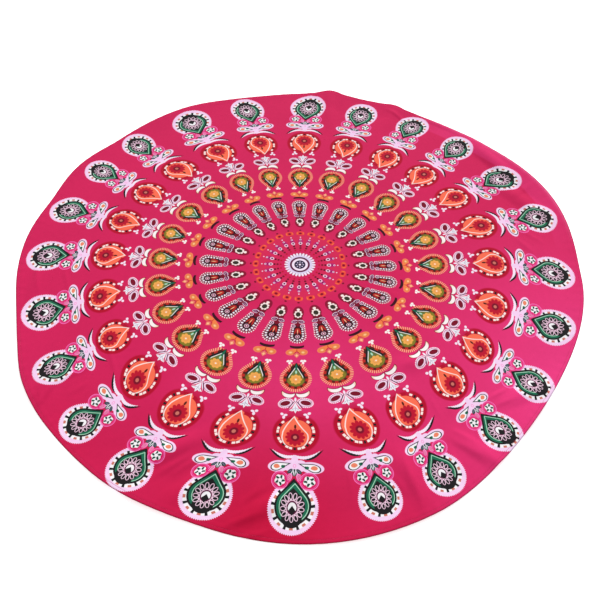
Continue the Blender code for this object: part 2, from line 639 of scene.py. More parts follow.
def draw_orange_cup(art, column):
    """Small orange bracket with a dark red oval in it."""
    art.lay_ovals(column.half, (
        (7.6, 117.0, 3.6, 6.4, "vermilion", 4.0),
        (8.4, 117.5, 0.9, 4.4, "orange", 4.0),
        (0.0, 122.8, 8.0, 2.2, "vermilion"),
        (0.0, 111.5, 7.0, 1.6, "vermilion"),
        (0.0, 117.0, 4.8, 4.2, "ruby"),
        (0.0, 117.0, 3.0, 3.0, "maroon"),
        (0.0, 130.0, 3.4, 2.6, "maroon"),
    ))


def draw_petal_cup(art, column):
    """Maroon cup with a ring of ivory petals round a dark heart."""
    art.lay(oval(column.whole, 0, 163.0, 14.2, 21.0), "maroon", strength=0.85)
    art.lay(oval(column.whole, 0, 181.0, 11.5, 9.0), "maroon")
    middle_y = 167.5
    width = 1.15
    height = 1.35
    unit = unit_place(column.whole, 0, middle_y, width, height)
    distance, angle = around(unit, 0, 0)
    petal = spun(distance, angle, count=8)
    art.lay(inside(distance, 9.0), "dark maroon")
    art.lay(oval(petal, 0, 6.7, 2.6, 2.5), "cream")
    art.lay(oval(column.half, 0, 152.8, 4.0, 3.6), "cream")
    art.lay(oval(column.half, 0, 168.0, 6.2, 7.4), "dark olive")


def draw_beaded_vase(art, column):
    """Arch of ticks and beads over a flower, on two curls and two bean loops."""
    shoulder_y = 236.0
    foot_y = 200.0
    taper = 0.0085
    below = larger(shoulder_y - column.y, 0.0)
    above = larger(column.y - shoulder_y, 0.0)
    narrowed = column.half_x * (below * taper + 1.0)
    gauge = length(joined(narrowed, above))
    angle = maths("ARCTAN2", narrowed, above + HAIR)
    standing = beyond(column.y, foot_y)

    ring_radius = 20.4
    ticks = waves(angle * ring_radius + below, pitch=5.6)
    art.lay(stroke(gauge, 18.5, 2.2) * standing, "maroon", strength=0.7)
    art.lay(stroke(gauge, ring_radius, 1.7) * beyond(ticks, 0.2, 0.5) * standing, "white")
    art.lay(inside(gauge, 17.4) * standing, "dark maroon")

    bead_radius = 13.8
    beads = waves(angle * bead_radius + below, pitch=7.2)
    art.lay(stroke(gauge, bead_radius, 2.3) * standing, "rose", strength=0.2)
    art.lay(stroke(gauge, bead_radius, 2.6) * beyond(beads, 0.0, 0.6) * standing, "white")
    art.lay_ovals(column.half, (
        (0.0, 238.0, 5.6, 5.2, "pale rose"),
        (0.0, 238.0, 4.4, 4.0, "maroon"),
        (0.0, 238.0, 2.0, 1.8, "pale rose"),
        (0.0, 221.0, 2.4, 10.0, "tomato"),
        (5.4, 221.0, 2.0, 9.5, "tomato", -16.0),
        (0.0, 222.0, 1.1, 6.0, "peach"),
        (0.0, 197.0, 6.0, 10.0, "maroon"),
        (11.4, 205.0, 5.4, 5.4, "pale rose"),
        (11.4, 205.0, 3.8, 3.8, "plum"),
        (11.4, 205.0, 1.4, 1.4, "pale rose"),
        (8.0, 191.5, 9.4, 6.6, "plum", 14.0),
        (8.0, 191.5, 8.2, 5.4, "pale rose", 14.0),
        (8.2, 191.7, 6.6, 3.9, "plum", 14.0),
        (9.0, 192.0, 3.4, 1.6, "mauve", 14.0),
        (0.0, 194.0, 2.4, 6.0, "maroon"),
    ))


def draw_orange_bow(art, column):
    """Dark crescent bar, orange bow with ringed dots, peach star and two white sprigs."""
    bar_y = 270.6
    bend = 0.0133
    thinning = 0.06
    arch = column.y + column.half_x * column.half_x * bend
    bar = absolute(arch - bar_y) + column.half_x * thinning
    art.lay(inside(bar, 4.0) * inside(column.half_x, 17.0), "dark maroon")
    art.lay_ovals(column.half, (
        (14.6, 284.8, 11.8, 8.8, "salmon"),
        (0.0, 279.5, 20.0, 5.0, "orange"),
        (14.6, 284.8, 10.6, 7.6, "orange"),
        (15.0, 285.2, 6.2, 4.9, "rust"),
        (15.0, 285.2, 5.2, 3.9, "amber"),
        (15.0, 285.2, 2.8, 2.3, "peach"),
        (4.6, 286.5, 1.0, 6.2, "ruby", -42.0),
        (0.0, 279.5, 0.9, 4.6, "ruby"),
    ))
    art.lay(diamond(column.half, 0, 294.0, 6.4, 7.8), "salmon")
    art.lay(diamond(column.half, 0, 294.5, 3.2, 4.0), "peach")
    art.lay_ovals(column.half, (
        (16.2, 316.0, 2.8, 4.1, "ivory"),
        (19.8, 310.2, 3.8, 2.9, "ivory", 35.0),
        (12.4, 310.4, 3.8, 2.9, "ivory", -35.0),
    ))


def draw_olive_drop(art, column):
    """Olive drop with a flower, in a red band with dark dots and a fringe of orange ticks."""
    middle_y = 361.5
    distance, angle = around(column.whole, 0, middle_y)
    fringe = drop(distance, angle, 36.0, 60.0)
    open_tip = beyond(column.y, 318.0)
    tick_count = 44
    ticks = cosine(angle * tick_count)
    art.lay(inside(fringe, 30.5) * open_tip, "tomato")
    art.lay(stroke(fringe, 33.2, 4.4) * beyond(ticks, -0.35, 0.5) * open_tip, "vermilion")
    ends = stroke(fringe, 33.9, 3.9) * beyond(ticks, 0.25, 0.5) * open_tip
    art.lay(ends, "peach", strength=0.85)
    dot_count = 11
    dots = cosine(angle * dot_count)
    dotted = drop(distance, angle, 26.0, 48.0)
    art.lay(stroke(dotted, 26.0, 2.8) * beyond(dots, 0.1, 0.3) * open_tip, "brown")
    body = drop(distance, angle, 22.0, 44.0)
    art.lay_discs(body, ((23.0, "pine green"), (21.8, "olive")))

    # Dark flanks with a white line in them meet at the tip, round a green leaf
    from_back = absolute(angle)
    art.lay(inside(body, 21.8) * beyond(from_back, 2.45, 0.5), "leaf green", strength=0.5)
    art.lay(stroke(body, 20.6, 2.6) * beyond(from_back, 1.45, 0.6), "black")
    art.lay(stroke(body, 17.3, 0.8) * beyond(from_back, 1.75, 0.3), "white")
    art.lay_ovals(column.half, (
        (0.0, 331.0, 2.6, 12.0, "leaf green"),
        (0.0, 343.0, 2.2, 4.6, "pale green"),
    ))
    flower_distance, flower_angle = around(column.whole, 0, 363.8)
    petal = spun(flower_distance, flower_angle, count=8)
    art.lay(oval(petal, 0, 9.3, 4.4, 5.0), "amber")
    art.lay(inside(flower_distance, 9.5), "amber")
    art.lay(stroke(flower_distance, 6.4, 0.8), "rust", strength=0.5)
    art.lay(inside(flower_distance, 2.2), "cream", strength=0.85)


def draw_cream_wings(art, column):
    """Two cream crescents over the olive drop, with dark rims."""
    outer = oval(column.half, 17.0, 403.0, 16.8, 13.2, -16.0)
    inner = oval(column.half, 15.4, 391.6, 18.0, 11.6, -14.0)
    art.lay(outer * (1.0 - inner), "maroon")
    outer = oval(column.half, 16.8, 403.4, 15.2, 11.6, -16.0)
    inner = oval(column.half, 15.2, 393.8, 18.0, 11.6, -14.0)
    wing = outer * (1.0 - inner)
    art.lay(wing, "ivory")
    art.lay(wing * beyond(column.half_x, 29.0, 6.0), "peach")


def draw_beaded_bow(art, column):
    """Bow of two beaded loops with an ice white leaf between them and sprigs beside it."""
    loop = unit_place(column.half, 21.8, 431.0, 19.2, 13.4, turn=18.0)
    share, angle = around(loop, 0, 0)
    bead_count = 24
    beads = cosine(angle * bead_count)
    art.lay(inside(share, 1.0, 0.05), "rose")
    art.lay(stroke(share, 0.92, 0.10, 0.05) * beyond(beads, -0.2, 0.6), "white")
    art.lay(stroke(share, 0.78, 0.035, 0.05), "plum")
    art.lay(inside(share, 0.74, 0.05), "pale lilac")
    art.lay(inside(share, 0.64, 0.05), "rose", strength=0.55)
    art.lay_ovals(column.half, (
        (23.4, 431.4, 13.4, 7.8, "pale lilac", 18.0),
        (23.4, 431.4, 12.3, 6.6, "maroon", 18.0),
        (8.6, 434.5, 1.3, 15.0, "plum", -36.0),
        (6.4, 435.5, 1.1, 13.0, "pale lilac", -32.0),
        (0.0, 420.5, 2.6, 5.5, "pale lilac"),
    ))
    art.lay(diamond(column.half, 0, 444.0, 7.0, 15.5), "ice")
    art.lay(diamond(column.half, 7.0, 449.6, 7.6, 3.9, 10.0), "ice")
    art.lay_ovals(column.half, (
        (0.0, 446.0, 0.5, 7.0, "slate"),
        (5.0, 447.5, 0.5, 4.6, "slate", -50.0),
        (26.6, 470.2, 3.3, 4.6, "pale lilac", -8.0),
        (22.2, 464.0, 4.4, 3.0, "pale lilac", 10.0),
        (30.8, 461.4, 3.9, 3.5, "pale lilac", -40.0),
    ))


def draw_red_drop(art, column):
    """Orange drop with a red flower, in a ring of dashes on a deep crimson shadow."""
    middle_y = 513.0
    distance, angle = around(column.whole, 0, middle_y)
    halo = drop(distance, angle, 52.5, 72.0)
    art.lay(inside(halo, 52.0, 4.0) * beyond(column.y, 464.0, 40.0), "deep crimson")
    body = drop(distance, angle, 36.0, 46.0)
    art.lay(inside(body, 35.5), "coral")

    # Every third of the marks round the drop is black and narrow, the others are cream dashes
    ring_radius = 40.4
    pitch = math.radians(13.5)
    from_mark = from_marks(angle, pitch, ring_radius)
    from_third = from_marks(angle, 3.0 * pitch, ring_radius)
    off_tip = inside(absolute(angle), math.radians(142.0), 0.05)
    art.lay(stroke(distance, ring_radius, 2.7) * inside(from_mark, 4.0) * off_tip, "cream")
    art.lay(stroke(distance, ring_radius, 4.6) * inside(from_third, 6.2), "deep crimson")
    art.lay(stroke(distance, ring_radius, 3.4) * inside(from_third, 2.4) * off_tip, "black")

    # Cream line round the flower, which runs out above it and leans to one side at its tip
    flower_y = 524.0
    bend_y = 490.0
    bend_reach = 26.0
    flower_distance, flower_angle = around(column.whole, 0, flower_y)
    from_bend = (column.y - bend_y) * (1.0 / bend_reach)
    bend = larger(1.0 - from_bend * from_bend, 0.0) * 4.0
    line_distance, line_angle = around(joined(column.x - bend, column.y), 0.8, flower_y)
    outline = drop(line_distance, line_angle, 29.5, 56.0)
    closing = beyond(absolute(line_angle), math.radians(42.0), 0.3)
    art.lay(stroke(outline, 29.2, 1.3) * closing, "cream", strength=0.9)
    art.lay(inside(flower_distance, 22.0, 14.0), "vermilion", strength=0.55)
    petal = spun(flower_distance, flower_angle, count=12)
    art.lay(oval(petal, 0, 16.8, 4.4, 6.0), "ruby")
    art.lay(inside(flower_distance, 17.0), "ruby")
    art.lay(inside(flower_distance, 9.6, 2.5), "maroon")
    art.lay(inside(flower_distance, 4.4), "rust")
    art.lay(oval(column.half, 0, 496.0, 2.6, 5.6), "brown")


def draw_moustache(art, column):
    """White curved stroke that tapers to both sides, over a black crescent.

    Both follow one arch, which leaves the middle line at a slope and bends back.
    """
    slope = 0.42
    bend = 0.0138
    arch = column.y - column.half_x * slope + column.half_x * column.half_x * bend
    from_swell = (column.half_x - 39.0) * (1.0 / 15.0)
    crescent = absolute(arch - 576.2) + from_swell * from_swell * 2.4
    art.lay(inside(crescent, 4.0), "black")
    scallops = waves(column.half_x, pitch=5.2) * 0.4
    from_thick = (column.half_x - 18.0) * (1.0 / 34.0)
    curve = absolute(arch - 571.6) + from_thick * from_thick * 3.7 + scallops
    art.lay(inside(curve, 3.7), "pale lilac")


def draw_lilac_bow(art, column):
    """Lilac bow with a leaf in each lobe, and a grey green sepal on top."""
    art.lay_ovals(column.half, (
        (35.5, 597.0, 23.2, 13.2, "lilac", 4.0),
        (12.0, 594.0, 14.0, 13.0, "lilac"),
        (0.0, 590.0, 8.5, 20.0, "lilac"),
        (0.0, 595.0, 3.4, 4.0, "rose"),
        (0.0, 595.0, 2.4, 3.0, "lilac"),
    ))
    leaf_length = 1.5
    leaf = unit_place(column.half, 39.0, 598.2, 1.0, leaf_length, turn=-74.0)
    leaf_distance, leaf_angle = around(leaf, 0, 0)
    outline = drop(leaf_distance, leaf_angle, 9.6, 22.0)
    art.lay_discs(outline, ((9.6, "black"), (7.8, "white")))
    art.lay_ovals(column.half, (
        (40.0, 597.6, 6.4, 5.0, "salmon"),
        (35.5, 598.6, 3.0, 2.6, "salmon", 35.0),
        (25.4, 598.0, 4.4, 3.4, "leaf green", -20.0),
        (22.4, 597.0, 2.2, 2.4, "pine green", -20.0),
        (0.0, 611.0, 11.0, 5.4, "pine green"),
        (9.5, 607.0, 3.6, 7.0, "pine green", -50.0),
        (0.0, 610.0, 4.0, 8.0, "pine green"),
        (9.5, 607.0, 1.2, 5.0, "slate", -50.0),
        (1.9, 609.5, 0.9, 6.0, "ice", 8.0),
        (5.6, 610.0, 0.8, 4.4, "ice", -24.0),
    ))


def draw_discs(art, column):
    """Two white flower discs with green strokes, and pink curls between them."""
    disc_x = 30.5
    disc_y = 627.0
    distance, angle = around(column.half, disc_x, disc_y)
    art.lay(inside(distance, 18.4), "magenta", strength=0.5)
    art.lay(stroke(distance, 18.2, 0.8), "rose")
    art.lay(stroke(distance, 15.6, 0.5), "rose", strength=0.6)
    art.lay_ovals(column.half, (
        (10.6, 621.0, 5.6, 10.0, "rose", -24.0),
        (11.6, 622.0, 4.6, 8.8, "magenta", -24.0),
    ))
    stripes = waves(column.half_x + column.y, pitch=3.4)
    curl = oval(column.half, 9.6, 619.5, 4.4, 8.0, -24.0)
    art.lay(curl * beyond(stripes, 0.3, 0.5), "lilac", strength=0.7)
    lobe = spun(distance, angle, count=5)
    art.lay(oval(lobe, 0, 6.6, 5.6, 5.4), "white")
    art.lay(inside(distance, 8.0), "white")
    vein = spun(distance, angle + math.radians(14.0), count=5)
    art.lay(oval(vein, 0, 7.6, 2.3, 3.8), "pine green")
    art.lay(oval(vein, 2.4, 4.6, 1.0, 2.2), "pine green")


def draw_eye_drop(art, column):
    """Green drop with an eye in a wreath of loops, in a wide lilac border with scallops."""
    back_y = 686.0
    border_radius = 52.2
    taper = 0.0082
    below = larger(back_y - column.y, 0.0)
    above = larger(column.y - back_y, 0.0)
    border = length(joined(column.half_x + below * below * taper, above))
    border_angle = maths("ARCTAN2", column.half_x, above + HAIR)
    scallops = waves(border_angle * border_radius + below, pitch=4.4)
    foot = beyond(column.y, 643.0, 2.0)
    art.lay(inside(border + scallops * 1.1, border_radius) * foot, "lilac")

    # Marks round the drop: rust dabs, and black ticks half way between them
    distance, angle = around(column.whole, 0, 682.0)
    ring_radius = 42.0
    pitch = math.radians(39.0)
    half_way = ring_radius * pitch / 2
    from_dab = from_marks(angle, pitch, ring_radius)
    off_tip = inside(absolute(angle), math.radians(146.0), 0.05)
    art.lay(inside(distance, 45.2) * foot * inside(border, 46.5), "white")
    art.lay(stroke(distance, 42.2, 2.9) * inside(from_dab, 3.9) * off_tip, "rust")
    art.lay(stroke(distance, 41.0, 5.0) * beyond(from_dab, half_way - 2.9) * off_tip, "black")

    # The green leaf lies in the black drop and closes only at its tip, and its pale vein lies a
    # little to one side
    drop_y = 679.0
    drop_distance, drop_angle = around(column.whole, 0, drop_y)
    art.lay(inside(drop(drop_distance, drop_angle, 38.5, 57.5), 38.5), "black")
    leaf = drop(drop_distance, drop_angle, 34.2, 49.5)
    art.lay(inside(leaf, 34.2), "leaf green")
    field = drop(drop_distance, drop_angle, 26.8, 37.5)
    art.lay(inside(field, 26.8), "black")
    vein_distance, vein_angle = around(column.whole, -2.6, drop_y)
    vein = drop(vein_distance, vein_angle, 30.4, 46.5)
    art.lay(stroke(vein, 30.4, 0.8), "pale green")
    art.lay(oval(column.half, 0, 701.0, 22.0, 21.5), "black")

    # Wreath of loops round the eye, a little narrower than it is high
    eye_y = 680.5
    slimness = 0.87
    wreath = unit_place(column.whole, 0, eye_y, slimness, 1.0)
    eye_distance, eye_angle = around(wreath, 0, 0)
    loop = spun(eye_distance, eye_angle, count=13)
    art.lay(oval(loop, 0, 22.2, 4.8, 7.4), "pale rose")
    art.lay(oval(loop, 0, 22.7, 3.1, 5.6), "black")
    art.lay_discs(eye_distance, ((15.2, "pale rose"), (13.6, "plum"), (10.4, "white")))
    art.lay(diamond(column.half, 0, eye_y + 5.6, 8.2, 10.2), "black")


# Each is laid over the ones before it
MOTIFS = (
    draw_medallion,
    draw_inner_dots,
    draw_orange_cup,
    draw_petal_cup,
    draw_beaded_vase,
    draw_orange_bow,
    draw_olive_drop,
    draw_cream_wings,
    draw_red_drop,
    draw_beaded_bow,
    draw_moustache,
    draw_lilac_bow,
    draw_eye_drop,
    draw_discs,
)

# Wide soft clouds of painted light and shade on the ground: the lighter, pinker ones are painted
# sheen, and the deeper ones are painted shade where the light falls off.
# Columns: X, Y, reach of the middle, width of the fade, ink
PAINTED_LIGHT_CLOUDS = (
    (740.0, -380.0, 340.0, 480.0, "painted light crimson"),
    (20.0, -450.0, 130.0, 420.0, "painted light crimson"),
    (-60.0, -750.0, 240.0, 380.0, "painted shade crimson"),
    (-500.0, -560.0, 10.0, 460.0, "painted shade crimson"),
)

# A painted highlight along one stretch of the edge, where it lifts off the floor, in two bands that
# follow it.
# Columns of the stretch: X and Y of its middle, reach, width of the fade
HIGHLIGHT_STRETCH = (620.0, 420.0, 290.0, 140.0)
# Columns of the bands: distance of the middle from the edge, half width, ink, strength
HIGHLIGHT_BANDS = (
    (5.0, 4.0, "painted highlight crimson", 0.7),
    (30.0, 22.0, "painted light crimson", 0.45),
)
HIGHLIGHT_BAND_FADE = 6.0


def mandala_print_and_painted_light():
    """Node group of the whole print.

    Takes the place on the printer's drawing in metres, with the distance from the edge as its Z,
    and gives the colour there: the inks of the print, laid over painted sheen and painted shade on
    the ground and a painted highlight along one stretch of the edge.
    """
    tree, entry, leave = new_group(
        "mandala_print_and_painted_light",
        (("Place", "NodeSocketVector"),),
        (("Colour", "NodeSocketColor"),),
    )
    metres = Field(entry.outputs["Place"])
    column = column_of(in_millimetres(metres))
    art = Picture(tree, "crimson")
    # Painted sheen and painted shade on the ground, under the print
    for x, y, reach, fade, ink in PAINTED_LIGHT_CLOUDS:
        art.lay(inside(length(in_millimetres(metres, x, y)), reach, fade), ink)
    # Painted highlight in bands along one lifted stretch of the edge
    x, y, reach, fade = HIGHLIGHT_STRETCH
    from_middle = length(in_millimetres(metres, x, y))
    from_edge = parts(metres)[2] * (1.0 / MILLIMETRE)
    along_stretch = inside(from_middle, reach, fade)
    for middle, half_width, ink, strength in HIGHLIGHT_BANDS:
        band = stroke(from_edge, middle, half_width, HIGHLIGHT_BAND_FADE)
        art.lay(band * along_stretch, ink, strength)
    for draw in MOTIFS:
        draw(art, column)
    tree.links.new(art.colour.socket, leave.inputs["Colour"])
    return tree


# ---------------------------------------------------------------- materials

CLOTH_FINISH = {
    "Roughness": 0.84,
    "Specular IOR Level": 0.10,
    "Sheen Weight": 0.04,
    "Sheen Roughness": 0.45,
}
THREAD_FINISH = {
    "Roughness": 0.6,
    "Specular IOR Level": 0.3,
}
PLACE_NAME = "print_place"
BAKE_MAP = "OFBake"

# Widths in millimetres
THREAD_PITCH = 0.9
# The next three widths are of bands of painted shade: the rim, and the line along the stitches
EDGE_SHADE_WIDTH = 2.0
STITCH_SHADE_HALF_WIDTH = 1.1
STITCH_SHADE_FADE = 1.2

# How much lighter or darker each of these makes the colour, as a share. The cloud, flecks and
# checks are the dye's own; the stitch line and the rim are painted shade.
CLOUD_SHARE = 0.16
FLECK_SHARE = 0.10
CHECK_SHARE = 0.03
STITCH_SHADE_SHARE = 0.05
EDGE_SHADE_SHARE = 0.42

# Heights in the bump, in metres
CRINKLE_HEIGHT = 0.0013
CREASE_HEIGHT = 0.0003
CHECK_HEIGHT = 0.00002


def new_material(name, values):
    """A material and its Principled shader, with these values set on it."""
    material = bpy.data.materials.new(name)
    material.use_nodes = True
    finish = material.node_tree.nodes["Principled BSDF"]
    for entry, value in values.items():
        finish.inputs[entry].default_value = value
    return material, finish


def new_group(name, entries, leaves):
    """A node group with these sockets, as name and kind, and its entry and leave nodes."""
    tree = bpy.data.node_groups.new(name, "ShaderNodeTree")
    for socket_name, kind in entries:
        tree.interface.new_socket(socket_name, in_out="INPUT", socket_type=kind)
    for socket_name, kind in leaves:
        tree.interface.new_socket(socket_name, in_out="OUTPUT", socket_type=kind)
    return tree, new_node(tree, "NodeGroupInput"), new_node(tree, "NodeGroupOutput")


def noise(place, scale, detail, stretch=(1.0, 1.0, 1.0)):
    """Cloudy noise between about 0 and 1, of this many cells a metre."""
    node = new_node(place.tree, "ShaderNodeTexNoise")
    feed(node.inputs, [vectors("MULTIPLY", place, stretch)])
    node.inputs["Scale"].default_value = scale
    node.inputs["Detail"].default_value = detail
    return Field(node.outputs[0])


def tinted(share, colour):
    """A colour times a share of it."""
    return vectors("MULTIPLY", joined(share, share, share), colour)


def cloth_weave_and_painted_shade():
    """Node group of the cloth itself: its threads, its uneven dye and its fine crinkles.

    Takes the place on the drawing in metres, the distance from the hem's edge and the ink. Gives
    the colour as it shows, and the normal. The dye's share is 1 with a cloud and the threads'
    checks added, and painted shade makes it darker along the stitches and along the very edge.
    """
    tree, entry, leave = new_group(
        "cloth_weave_and_painted_shade",
        (("Place", "NodeSocketVector"), ("Ink", "NodeSocketColor")),
        (("Colour", "NodeSocketColor"), ("Normal", "NodeSocketVector")),
    )
    metres = Field(entry.outputs["Place"])
    across, up, from_edge = parts(metres)
    flat = joined(across, up)
    thread_turns = math.pi / (THREAD_PITCH * MILLIMETRE)
    checks = sine(across * thread_turns) * sine(up * thread_turns)
    cloud = noise(flat, scale=5.0, detail=3.0) - 0.5
    fleck = noise(flat, scale=90.0, detail=2.0) - 0.5
    inset = from_edge * (1.0 / MILLIMETRE)
    # Painted shade: a dark line in the groove along the stitches, and a dark band along the very
    # edge
    stitch_shade = stroke(inset, STITCH_INSET / MILLIMETRE, STITCH_SHADE_HALF_WIDTH, STITCH_SHADE_FADE)
    rim = inside(inset, EDGE_SHADE_WIDTH, EDGE_SHADE_WIDTH)
    uneven = cloud * CLOUD_SHARE + fleck * FLECK_SHARE + checks * CHECK_SHARE
    share = uneven - stitch_shade * STITCH_SHADE_SHARE - rim * EDGE_SHADE_SHARE + 1.0
    shown = tinted(share, Field(entry.outputs["Ink"]))

    crinkle = noise(flat, scale=17.0, detail=3.0, stretch=(1.0, 0.45, 1.0)) * CRINKLE_HEIGHT
    crease = noise(flat, scale=42.0, detail=2.0, stretch=(0.5, 1.0, 1.0)) * CREASE_HEIGHT
    bump = new_node(tree, "ShaderNodeBump")
    bump.inputs["Distance"].default_value = 1.0
    height = crinkle + crease + checks * CHECK_HEIGHT
    tree.links.new(height.socket, bump.inputs["Height"])
    tree.links.new(shown.socket, leave.inputs["Colour"])
    tree.links.new(bump.outputs["Normal"], leave.inputs["Normal"])
    return tree


# Soft patches of ink on the underside. Columns: Y, half width, half height, ink
GHOST_PATCHES = (
    (0.0, 36.0, 36.0, "mauve"),
    (166.0, 10.0, 18.0, "plum"),
    (222.0, 20.0, 32.0, "plum"),
    (284.0, 24.0, 10.0, "orange"),
    (362.0, 36.0, 38.0, "vermilion"),
    (362.0, 22.0, 24.0, "olive"),
    (434.0, 40.0, 16.0, "lilac"),
    (513.0, 40.0, 42.0, "orange"),
    (522.0, 20.0, 20.0, "ruby"),
    (598.0, 58.0, 13.0, "lilac"),
    (690.0, 52.0, 50.0, "lilac"),
    (684.0, 36.0, 40.0, "pine green"),
)
GHOST_STRENGTH = 0.22


def print_ghost():
    """Node group of the print as it shows through to the underside.

    Each patch is an oval that fades out all round.
    """
    tree, entry, leave = new_group(
        "print_ghost",
        (("Place", "NodeSocketVector"),),
        (("Colour", "NodeSocketColor"),),
    )
    column = column_of(in_millimetres(Field(entry.outputs["Place"])))
    art = Picture(tree, "washed crimson")
    for y, half_x, half_y, ink in GHOST_PATCHES:
        share = length(unit_place(column.half, 0.0, y, half_x, half_y))
        art.lay(inside(share, 0.85, bleed=0.5), ink, GHOST_STRENGTH)
    tree.links.new(art.colour.socket, leave.inputs["Colour"])
    return tree


def cloth_material(name, art_group, weave_and_shade_group):
    """Cloth with this print on it: both groups follow the place that the sheet carries."""
    material, finish = new_material(name, CLOTH_FINISH)
    tree = material.node_tree
    attribute = new_node(tree, "ShaderNodeAttribute")
    attribute.attribute_name = PLACE_NAME
    art = new_node(tree, "ShaderNodeGroup")
    art.node_tree = art_group
    weave_and_shade = new_node(tree, "ShaderNodeGroup")
    weave_and_shade.node_tree = weave_and_shade_group
    tree.links.new(attribute.outputs["Vector"], art.inputs["Place"])
    tree.links.new(attribute.outputs["Vector"], weave_and_shade.inputs["Place"])
    tree.links.new(art.outputs["Colour"], weave_and_shade.inputs["Ink"])
    tree.links.new(weave_and_shade.outputs["Colour"], finish.inputs["Base Color"])
    tree.links.new(weave_and_shade.outputs["Normal"], finish.inputs["Normal"])
    return material


def thread_material():
    """Sewing thread of the hem: uneven crimson, a little lighter and shinier than the cloth."""
    material, finish = new_material("sewing_thread", THREAD_FINISH)
    tree = material.node_tree
    coordinates = new_node(tree, "ShaderNodeTexCoord")
    share = noise(Field(coordinates.outputs["Object"]), scale=260.0, detail=1.0) * 0.4 + 0.8
    colour = tinted(share, ink_colour("thread crimson")[:3])
    tree.links.new(colour.socket, finish.inputs["Base Color"])
    return material


# ---------------------------------------------------------------- the sheet

# Where the bake map has the printed face and the underside. Columns: U, V, radius
FACE_DISC = (0.486, 0.486, 0.480)
UNDER_DISC = (0.905, 0.905, 0.085)


def sheet_thickness(from_edge):
    """Thickness at this distance from the edge: one layer, then two, drawn in by stitches."""
    hem_share = np.clip((HEM_WIDTH + HEM_STEP - from_edge) / HEM_STEP, 0.0, 1.0)
    dip = STITCH_DIP * bell(from_edge - STITCH_INSET, STITCH_DIP_REACH)
    return CLOTH_THICKNESS + (HEM_THICKNESS - CLOTH_THICKNESS) * hem_share - dip


def puckers(angle, from_edge):
    """Height of the small waves along the hem: a cosine for each row, fading to both sides."""
    height = np.zeros_like(angle)
    for count, half_height in PUCKERS:
        height += half_height * (1.0 + np.cos(count * np.radians(angle)))
    return height * bell(from_edge - STITCH_INSET, PUCKER_REACH)


def cloth_place(share, angle, rise):
    """Place of a point of the sheet, before the footprint's middle is moved to the origin.

    X and Y are the edge's own radius at the angle, times the distance share. Z is the underside's
    lift, plus the wrinkles and puckers, plus the rise's share of the thickness.
    """
    radius = share * edge_radius(angle)
    x = radius * np.cos(np.radians(angle))
    y = radius * np.sin(np.radians(angle))
    from_edge = (1.0 - share) * RADIUS
    wrinkle_share = WRINKLE_SHARE_BELOW + (1.0 - WRINKLE_SHARE_BELOW) * rise
    z = lift(x, y) + ridges(x, y, WRINKLES) * wrinkle_share + puckers(angle, from_edge)
    return x, y, z + rise * sheet_thickness(from_edge)


def spoke_angles():
    """Angles of the spokes: even steps, drawn together by a sine where most creases are."""
    even = np.arange(SPOKES) * (360.0 / SPOKES)
    return even - CLOSER_SHARE * np.degrees(np.sin(np.radians(even - CLOSEST_SPOKES_AT)))


def sheet_rings():
    """Distance share and rise of each ring, from the top's middle over the edge and back below.

    Also gives how many of the rings are on top or on the hem's rounded edge, and how many are on
    the printed cloth, which is turned in under the hem.
    """
    hem_start = 1.0 - (HEM_WIDTH + HEM_STEP) / RADIUS
    ends = [start for start, _ in RING_ZONES[1:]] + [hem_start]
    zones = [
        np.linspace(start, end, count, endpoint=False)
        for (start, count), end in zip(RING_ZONES, ends)
    ]
    single = np.concatenate((*zones, [hem_start]))[1:]
    insets = (
        HEM_WIDTH,
        STITCH_INSET + STITCH_DIP_REACH / 2,
        STITCH_INSET,
        STITCH_INSET - STITCH_DIP_REACH / 2,
        HEM_WIDTH / 2,
        HEM_ROUND,
    )
    hem = 1.0 - np.array(insets) / RADIUS
    turns = np.radians(ROUND_TURNS)
    rim = 1.0 - HEM_ROUND * (1.0 - np.cos(turns)) / RADIUS

    # The underside has every second ring of the top's
    hem_under = hem[::-2]
    shares = np.concatenate((single, hem, rim, hem_under, single[::-2]))
    on_top = len(single) + len(hem)
    rises = np.zeros(len(shares))
    rises[:on_top] = 1.0
    rises[on_top:on_top + len(rim)] = 0.5 + 0.5 * np.sin(turns)
    facing = on_top + len(rim)
    return shares, rises, facing, facing + len(hem_under)


def new_object(data):
    """An object of this mesh, lamp or camera, with its name, in the scene."""
    made = bpy.data.objects.new(data.name, data)
    bpy.context.scene.collection.objects.link(made)
    return made


def disc_places(disc, reach, angle):
    """Places on one disc of the bake map: polar, about the disc's centre."""
    centre_u, centre_v, radius = disc
    u = centre_u + radius * reach * np.cos(np.radians(angle))
    v = centre_v + radius * reach * np.sin(np.radians(angle))
    return np.column_stack((u, v))


def bake_places(share, angle, rise, under):
    """Places on the bake map: on the underside's disc where the mask says so, else on the face's.

    The face's disc has the top, and the rounded edge as a ring round it, about as wide as the hem
    is thick.
    """
    edge_share = 2.0 * HEM_ROUND / RADIUS
    face_reach = (share + (1.0 - rise) * edge_share) / (1.0 + edge_share)
    face_places = disc_places(FACE_DISC, face_reach, angle)
    under_places = disc_places(UNDER_DISC, share, 180.0 - angle)
    return np.where(under[:, None], under_places, face_places)


def sheet_faces(rings):
    """Quads between the rings, and a fan round the middle of the top and of the underside."""
    here = np.arange(rings * SPOKES).reshape(rings, SPOKES)
    after = np.roll(here, -1, axis=1)
    quads = np.stack((here[:-1], here[1:], after[1:], after[:-1]), axis=-1).reshape(-1, 4)
    top_pole = rings * SPOKES
    top_fan = np.column_stack((np.full(SPOKES, top_pole), here[0], after[0]))
    under_fan = np.column_stack((np.full(SPOKES, top_pole + 1), after[-1], here[-1]))
    return quads, top_fan, under_fan


